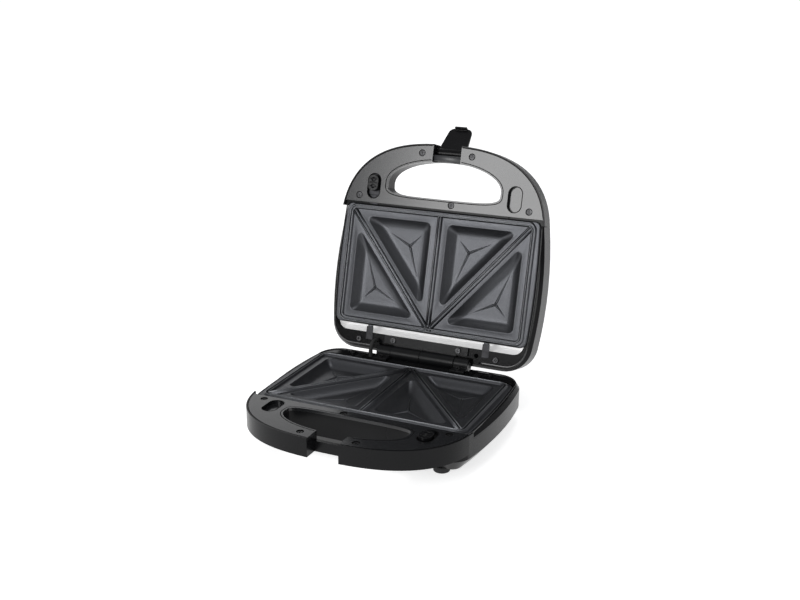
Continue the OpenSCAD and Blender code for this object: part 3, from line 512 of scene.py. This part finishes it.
def bevelled_block(low, high, c):
    """Block whose edges are cut at 45 degrees: rows at four heights of an eight-cornered plan."""
    (x0, y0, z0), (x1, y1, z1) = low, high

    def plan(i, z):
        a, b, e, f = x0 + i, x1 - i, y0 + i, y1 - i
        return [
            (a + c, e, z), (b - c, e, z), (b, e + c, z), (b, f - c, z),
            (b - c, f, z), (a + c, f, z), (a, f - c, z), (a, e + c, z),
        ]

    return np.array([plan(c, z0), plan(0, z0 + c), plan(0, z1 - c), plan(c, z1)])


def crease(start, end, width, height, floor):
    """Raised wedge on the pocket's floor: a roof whose width and height shrink along its length."""
    start, end = np.array(start, float), np.array(end, float)
    way = (end - start) / np.linalg.norm(end - start)
    across = np.array([-way[1], way[0]])
    t = np.linspace(-0.03, 1, 9)
    size = (1 - t.clip(0, 1)) ** 0.8 * 0.94 + 0.06
    roof = [(-1, -0.3), (-0.9, 0.12), (-0.25, 0.9), (0, 1), (0.25, 0.9), (0.9, 0.12), (1, -0.3)]
    profile = np.array(roof)
    sideways = (profile[:, 0] * size[:, None] * width / 2)[..., None] * across
    flat = start + t[:, None, None] * (end - start) + sideways
    z = floor + profile[:, 1] * size[:, None] * height
    return np.concatenate((flat, z[..., None]), 2)


def toasting_plate(name, place):
    """Pocketed face, edge and underside as one closed casting, with rails, creases and lugs."""
    casting = Casting()
    top = [
        (0, 0, 0, 0, 0, face_z),
        (4, 3, 1.0, 0.6, 0.6, face_z),
        (8.4, 5.6, 6.0, 4.3, 4.3, face_z),
        (9.1, 6.3, 6.0, 4.3, 4.3, face_z + 0.2),
        (9.7, 6.9, 5.9, 4.2, 4.2, face_z + 0.14),
    ]
    for h in np.linspace(0, 1, 12):
        depth = 0.15 * h + 0.85 * (1 - (1 - h) ** 1.9)
        slant_r = 4.1 - 3.0 * h
        wall = (10 + 9.6 * h, 7.2 + 9.6 * h, 5.8 - 4.2 * h, slant_r, slant_r)
        top.append(wall + (face_z - 0.2 - 7.3 * depth,))
    top += [(24.0, 20.0, 1.0, 0.8, 0.8, pocket_z), (29.5, 25.5, 0.4, 0.3, 0.3, pocket_z)]
    under = [
        (0, 0, 0, 0, 0, plate_under),
        (8.3, 5.4, 5.5, 3.8, 3.8, plate_under),
        (9.2, 6.3, 5.3, 3.6, 3.6, plate_under - 0.5),
        (14.8, 11.9, 3.4, 2.4, 2.4, pocket_z - 1.5),
        (16.4, 13.5, 3.0, 2.0, 2.0, pocket_z - 2.0),
        (24.0, 20.0, 1.0, 0.8, 0.8, pocket_z - 2.0),
    ]
    for rings, is_under in ((top, False), (under, True)):
        for rows, is_mirror in four_cells(cell_rings(rings)):
            casting.rows(rows, flip=is_mirror != is_under, cap_last=True)

    edge = (
        (1.6, face_z), (0.9, face_z - 0.05), (0.35, face_z - 0.3), (0.05, face_z - 0.8),
        (0, plate_under + 0.8), (0.3, plate_under + 0.25), (1.0, plate_under),
    )
    outlines = [
        bowed_outline(plate_half, plate_front, plate_rear, 6, 8, plate_bow, inset) for inset, z in edge
    ]
    casting.rows(np.array([
        np.column_stack((outline, np.full(len(outline), z))) for outline, (inset, z) in zip(outlines, edge)
    ]), flip=True)
    flange(casting, outlines[0], face_z, False)
    flange(casting, outlines[-1], plate_under, True)

    rail = [
        (-3.5, -2.6), (-3.1, -2.05), (-2.4, -1.1), (-1.95, -0.5), (-1.7, -0.24), (-1.4, -0.15), (-1.1, -0.26),
        (-0.85, -0.7), (-0.68, -2.5), (0.68, -2.5), (0.85, -0.7), (1.1, -0.26), (1.4, -0.15), (1.7, -0.24),
        (1.95, -0.5), (2.4, -1.1), (3.1, -2.05), (3.5, -2.6),
    ]
    add_rails(casting, rail)
    boss = [
        (4.7, -2.6), (4.4, -1.6), (4.1, -1.05), (3.6, -0.8),
        (2.4, -0.8), (1.9, -0.95), (1.5, -1.5), (0.8, -1.7),
    ]
    casting.rows(turned((0, rim_rear - 1.6), boss), flip=False, cap_last=True, cap_first=True)

    centre, tips = (34.4, 37.3), ((22.7, 25.4), (58.4, 25.5), (22.5, 70.0))
    for tip in tips:
        for rows, is_mirror in four_cells(crease(centre, tip, 3.3, 1.05, pocket_z)):
            casting.rows(rows, flip=is_mirror, cap_first=True, cap_last=True)

    rear_lug_x, lug_left, lug_right, lug_bevel = 68.0, 77.5, 84.5, 0.2
    lugs = [
        ((x - 3, plate_rear - 1, -4.5), (x + 3, plate_rear + 3.5, -3.2)) for x in (-rear_lug_x, rear_lug_x)
    ]
    lugs.append(((lug_left, plate_front - 1.6, -6.2), (lug_right, plate_front + 3, -4.9)))
    lugs.append(((lug_left, plate_front, -6.2), (lug_right, plate_front + 3, -4.0)))
    for low, high in lugs:
        casting.rows(bevelled_block(low, high, lug_bevel), cap_first=True, cap_last=True)
    return casting.build(name, place)


# The coating is dark, with fine bright flakes under a satin film.
coating = finish(
    "coating", (0.070, 0.072, 0.078), 0.36, metal=0.85,
    mottle=(2600, 0.35), smudge=(30, 0.06), grain=(2400, 0.12),
)
# On the rails' crests the coating is painted a lighter grey with a little less roughness: a painted highlight
# along them.
crest_highlight_coating = finish(
    "painted_highlight_coating", (0.145, 0.149, 0.157), 0.3, metal=0.85,
    mottle=(900, 0.3), smudge=(60, 0.06), grain=(2400, 0.08),
)
painted_highlight_above = -0.75
turn = math.radians(lid_open)
facing = {"base": (0, 0, 1), "lid": (0, -math.sin(turn), -math.cos(turn))}
for half, place in (("base", on_base), ("lid", on_lid)):
    plate = toasting_plate(half + "_plate_casting", place)
    plate.data.materials.append(coating)
    plate.data.materials.append(crest_highlight_coating)
    centres = np.empty(len(plate.data.polygons) * 3, np.float32)
    plate.data.polygons.foreach_get("center", centres)
    height = (centres.reshape(-1, 3) - (0, axis_y * mm, mating_z * mm)) @ np.array(facing[half]) / mm
    # Faces above this height, the rails' crests, take the painted highlight.
    plate.data.polygons.foreach_set("material_index", (height > painted_highlight_above).astype(np.int32))
    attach(plate, half + "_plate")
    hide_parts(half + "_plate")

# ---------------------------------------------------------------- frame lips
# A low bead is moulded on each frame round the plate's opening: narrow along the sides, and wider
# where it swings round the rear corners towards the hinge.
frame_top = -3.5


def band_along(casting, path, width, foot, rise, closed=False):
    """Bevelled band along a path: a six-sided profile set across it, scaled by the width there."""
    way = np.roll(path, -1, 0) - np.roll(path, 1, 0) if closed else np.gradient(path, axis=0)
    way /= np.linalg.norm(way, axis=1)[:, None]
    outward = np.stack((way[:, 1], -way[:, 0]), 1)
    across = np.array([-0.5, -0.5, -0.3, 0.3, 0.5, 0.5])
    height = foot + np.array([-0.6, rise * 0.6, rise, rise, rise * 0.6, -0.6])
    offset = across * np.broadcast_to(width, len(path))[:, None]
    flat = path[:, None] + offset[..., None] * outward[:, None]
    rows = np.concatenate((flat, np.broadcast_to(height[None, :, None], flat.shape[:2] + (1,))), 2)
    if closed:
        rows = np.concatenate((rows, rows[:1]))
    casting.rows(rows, cap_first=not closed, cap_last=not closed)


def frame_lip(name, place):
    """Side line 1.3 mm out from the plate's bow, a quarter ellipse about (90, -28.5), a straight end."""
    casting = Casting()
    y = np.linspace(-154.3, -29.5, 30)
    bow, middle = plate_bow + 1.3, (plate_front + plate_rear) / 2
    side = np.stack((plate_half - plate_bow + np.sqrt(bow ** 2 - (y - middle) ** 2), y), 1)
    turn = np.linspace(0, math.pi / 2, 20)
    corner = np.stack((90 + (side[-1, 0] - 90) * np.cos(turn), -28.5 + 24.7 * np.sin(turn)), 1)
    rear = np.stack((np.linspace(88, 62, 8), np.full(8, -3.8)), 1)
    path = np.concatenate((side, corner, rear))
    width = np.concatenate((np.full(30, 1.1), np.linspace(1.1, 3.0, 20), np.full(8, 3.0)))
    for mirror in (1, -1):
        band_along(casting, path * (mirror, 1), width, frame_top, 0.8)
    return casting.build(name, place)


lip_black = finish(
    "lip_black", (0.006, 0.0062, 0.0068), 0.3,
    mottle=(60, 0.15), grain=(1500, 0.04), gloss=0.6,
)
for half, place in (("base", on_base), ("lid", on_lid)):
    lip = frame_lip(half + "_frame_lip", place)
    lip.data.materials.append(lip_black)
    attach(lip, half)

# ---------------------------------------------------------------- plate catches and clips
# Spring steel strips: one in front of each plate hooks over its lug and is pushed back by the
# release slide, and two behind it reach over its rear lugs.
spring_strip = finish(
    "spring_strip", (0.022, 0.022, 0.024), 0.34, metal=0.8,
    mottle=(120, 0.1), smudge=(80, 0.15), grain=(1800, 0.1),
)
for half in ("base", "lid"):
    dressed(half + "_catch_strip", half + "_plate_catch", half, spring_strip, 0.15)
    dressed(half + "_rear_clip_strips", half + "_rear_clips", half, spring_strip, 0.12)

# ---------------------------------------------------------------- plate releases
# A black knob in one oval of each handle panel, on a steel slide that a small coil spring pushes
# forward. Its oval opposite, in the other half, takes the knob when the toaster is shut.
oval_x = 81.0


def return_spring(name, place):
    """Round wire along a helix about the slide's axis, its end turns wound close and flat.

    The advance along the axis is t minus sin(2 pi t) / (2 pi) * close, so that it slows at both ends.
    """
    wire, radius, coils, close = 0.28, 1.9, 9, 0.75
    front, rear, centre_z = -183.25, -171.25, -8.2
    t = np.linspace(0, 1, coils * 18 + 1)
    turn = 2 * math.pi * coils * t
    advance = t - np.sin(2 * math.pi * t) / (2 * math.pi) * close
    y = front + wire + (rear - front - 2 * wire) * advance
    out = np.stack((np.cos(turn), np.zeros_like(turn), np.sin(turn)), 1)
    axis = np.stack((np.full_like(turn, oval_x), y, np.full_like(turn, centre_z)), 1)
    angle = np.linspace(0, 2 * math.pi, 8, endpoint=False)
    ring = np.cos(angle)[:, None] * out[:, None] + np.sin(angle)[:, None] * np.array([0.0, 1.0, 0.0])
    casting = Casting()
    casting.rows((axis + radius * out)[:, None] + wire * ring, cap_first=True, cap_last=True)
    return casting.build(name, place)


knob_black = finish(
    "knob_black", (0.004, 0.004, 0.0045), 0.22,
    mottle=(90, 0.1), smudge=(60, 0.1), grain=(1800, 0.06), gloss=0.22,
)
rib_places, rib_half = (-186.3, -182.0, -177.7), 0.55
for half in ("base", "lid"):
    knob, node = half + "_knob", half + "_release_knob"
    dressed(knob + "_moulding", node, knob, knob_black, 1.6, 4)
    ribs = Casting()
    for y in rib_places:
        low, high = (76.8, y - rib_half, 2.3), (85.2, y + rib_half, 3.4)
        ribs.rows(bevelled_block(low, high, 0.25), cap_first=True, cap_last=True)
    rib_piece = ribs.build(half + "_knob_ribs", on_base if half == "base" else on_lid)
    rib_piece.data.materials.append(knob_black)
    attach(rib_piece, half + "_knob")
    dressed(half + "_slide_strip", half + "_release_slide", half + "_knob", spring_strip, 0.2)
    spring = return_spring(half + "_return_spring", on_base if half == "base" else on_lid)
    spring.data.materials.append(spring_strip)
    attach(spring, half)
    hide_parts(half + "_release_spring")

# ---------------------------------------------------------------- handle panels
# Flat lids of the ring handles, with the finger hole, the latch gap and the two ovals, held by
# five cross-head screws each.
panel_grey = finish(
    "panel_grey", (0.009, 0.0094, 0.0105), 0.22,
    mottle=(24, 0.12), smudge=(10, 0.03), grain=(1500, 0.015), gloss=0.55,
)
for half in ("base", "lid"):
    dressed(half + "_handle_panel", half + "_panel", half, panel_grey, 0.4)
    dressed(half + "_panel_screws_black", half + "_panel_screws", half, screw_black, 0.2)

# Matt black strips, raised a hair above the panel, paint the shade in the narrow gaps round each
# panel: along its curved edge, round the finger hole, and round the ovals and the screws' counterbores.
panel_top, oval_y, gap_half, shade_strip_rise = -0.4, -178.6, 16.0, 0.04
handle_half, handle_reach, handle_middle, handle_power = 117.7, 99.5, -130.0, 2.6
hole_half, hole_middle, hole_back, hole_front = 65.0, -184.0, 13.0, 27.0
screw_places = ((97.7, -167.4), (-97.7, -167.4), (-11.2, -165.8), (28.5, -218.75), (-28.5, -218.75))


def superellipse(half, reach, power, t):
    """Points (half * cos^(2/n), reach * sin^(2/n)) with their signs kept, for an array of angles."""
    c, s = np.cos(t), np.sin(t)
    return np.stack((
        half * np.sign(c) * np.abs(c) ** (2 / power), reach * np.sign(s) * np.abs(s) ** (2 / power),
    ), 1)


def gap_shade_strips(name, place):
    """All the strips of painted gap shade round one handle's panel, as one piece."""
    casting = Casting()
    edge_inset, hole_gap = 1.75, 2.0
    t = np.linspace(0.02, math.pi - 0.02, 400)
    edge = superellipse(handle_half - edge_inset, handle_reach - edge_inset, handle_power, t)
    edge = edge * (1, -1) + (0, handle_middle)
    edge = edge[edge[:, 1] < -161.0]
    t = np.linspace(-0.5 * math.pi, 1.5 * math.pi, 400)
    back = superellipse(hole_half + 2.3, hole_back + hole_gap, 4.4, t)
    front = superellipse(hole_half + 2.3, hole_front + hole_gap, 2.05, t)
    hole = np.where(back[:, 1:] > 0, back, front) + (0, hole_middle)
    hole = hole[~((np.abs(hole[:, 0]) < gap_half + 0.4) & (hole[:, 1] < hole_middle))]
    band_along(casting, hole, 0.9, panel_top, shade_strip_rise)
    for side in (-1, 1):
        band_along(casting, edge[side * edge[:, 0] > gap_half + 0.4], 1.0, panel_top, shade_strip_rise)
    turn = np.linspace(0, 2 * math.pi, 48, endpoint=False)
    for x in (-oval_x, oval_x):
        straight = np.where(np.sin(turn) > 0, 6.0, -6.0)
        pill = np.stack((7.65 * np.cos(turn), 7.65 * np.sin(turn) + straight), 1)
        band_along(casting, pill + (x, oval_y), 0.9, panel_top, shade_strip_rise, closed=True)
    for x, y in screw_places:
        ring = np.stack((3.35 * np.cos(turn), 3.35 * np.sin(turn)), 1)
        band_along(casting, ring + (x, y), 0.75, panel_top, shade_strip_rise, closed=True)
    return casting.build(name, place)


# Painted shade: these matt black strips stand for the shade in the gaps round the panel.
painted_gap_shade = finish(
    "painted_gap_shade", (0.003, 0.003, 0.003), 0.8,
    mottle=(300, 0.3), grain=(2000, 0.2), gloss=0.1,
)
for half, place in (("base", on_base), ("lid", on_lid)):
    strip_piece = gap_shade_strips(half + "_gap_shade_strips", place)
    strip_piece.data.materials.append(painted_gap_shade)
    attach(strip_piece, half)

# ---------------------------------------------------------------- latch
# A flap on the lid's handle turns on a steel pin and hooks under the base's keeper bar. Its thick
# barrel fills the gap behind a small cover moulded between the panel's ends.
latch_black = finish(
    "latch_black", (0.004, 0.004, 0.0045), 0.26,
    mottle=(80, 0.15), smudge=(40, 0.05), grain=(1500, 0.06), gloss=0.16,
)
latch_y, latch_z, barrel_r, barrel_half = -221.0, -14.0, 5.2, 15.7
flap = dressed("latch_flap_moulding", "latch_flap", "latch", latch_black, 0.5)
points = np.empty(len(flap.data.vertices) * 3, np.float32)
flap.data.vertices.foreach_get("co", points)
points = points.reshape(-1, 3)
pivot = on_lid((0, latch_y, latch_z))[0]
spoke = points[:, 1:] - pivot[1:]
reach = np.linalg.norm(spoke, axis=1)
inner_reach, outer_reach, cad_barrel_half, plate_share = 0.0028, 0.0033, 14.5, 0.93
on_barrel = (reach > inner_reach) & (reach < outer_reach)
points[on_barrel, 1:] = pivot[1:] + spoke[on_barrel] * (barrel_r * mm / reach[on_barrel])[:, None]
points[on_barrel | (reach < inner_reach), 0] *= barrel_half / cad_barrel_half
points[reach > outer_reach, 0] *= plate_share
flap.data.vertices.foreach_set("co", points.ravel())
flap.data.update()

cover_grey = finish(
    "cover_grey", (0.03, 0.031, 0.033), 0.34,
    mottle=(60, 0.1), smudge=(30, 0.05), grain=(1500, 0.04),
)
cover = Casting()
cover_low, cover_high = (-15.95, -218.0, -8.2), (15.95, -211.3, -3.0)
cover.rows(bevelled_block(cover_low, cover_high, 0.5), cap_first=True, cap_last=True)
gap_cover = cover.build("lid_gap_cover", on_lid)
gap_cover.data.materials.append(cover_grey)
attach(gap_cover, "lid")
dressed("latch_pin_steel", "latch_pin", "lid", zinc, 0.2)

# ---------------------------------------------------------------- lamps
# Red and green lenses in the lid's roof, each over a neon lamp.
neon_glass = finish("neon_glass", (0.95, 0.60, 0.35), 0.15, mottle=(200, 0.1), grain=(900, 0.02))
lens_red = finish("lens_red", (0.62, 0.05, 0.04), 0.18, mottle=(200, 0.15), grain=(900, 0.05))
lens_green = finish("lens_green", (0.04, 0.42, 0.12), 0.18, mottle=(200, 0.15), grain=(900, 0.05))
lenses = dressed("lamp_lenses_tinted", "lamp_lenses", "lid", lens_red, 0.3)
lenses.data.materials.append(lens_green)
for face in lenses.data.polygons:
    face.material_index = int(face.center.x < 0)
dressed("neon_lamps_glass", "neon_lamps", "lid", neon_glass, 0.8)
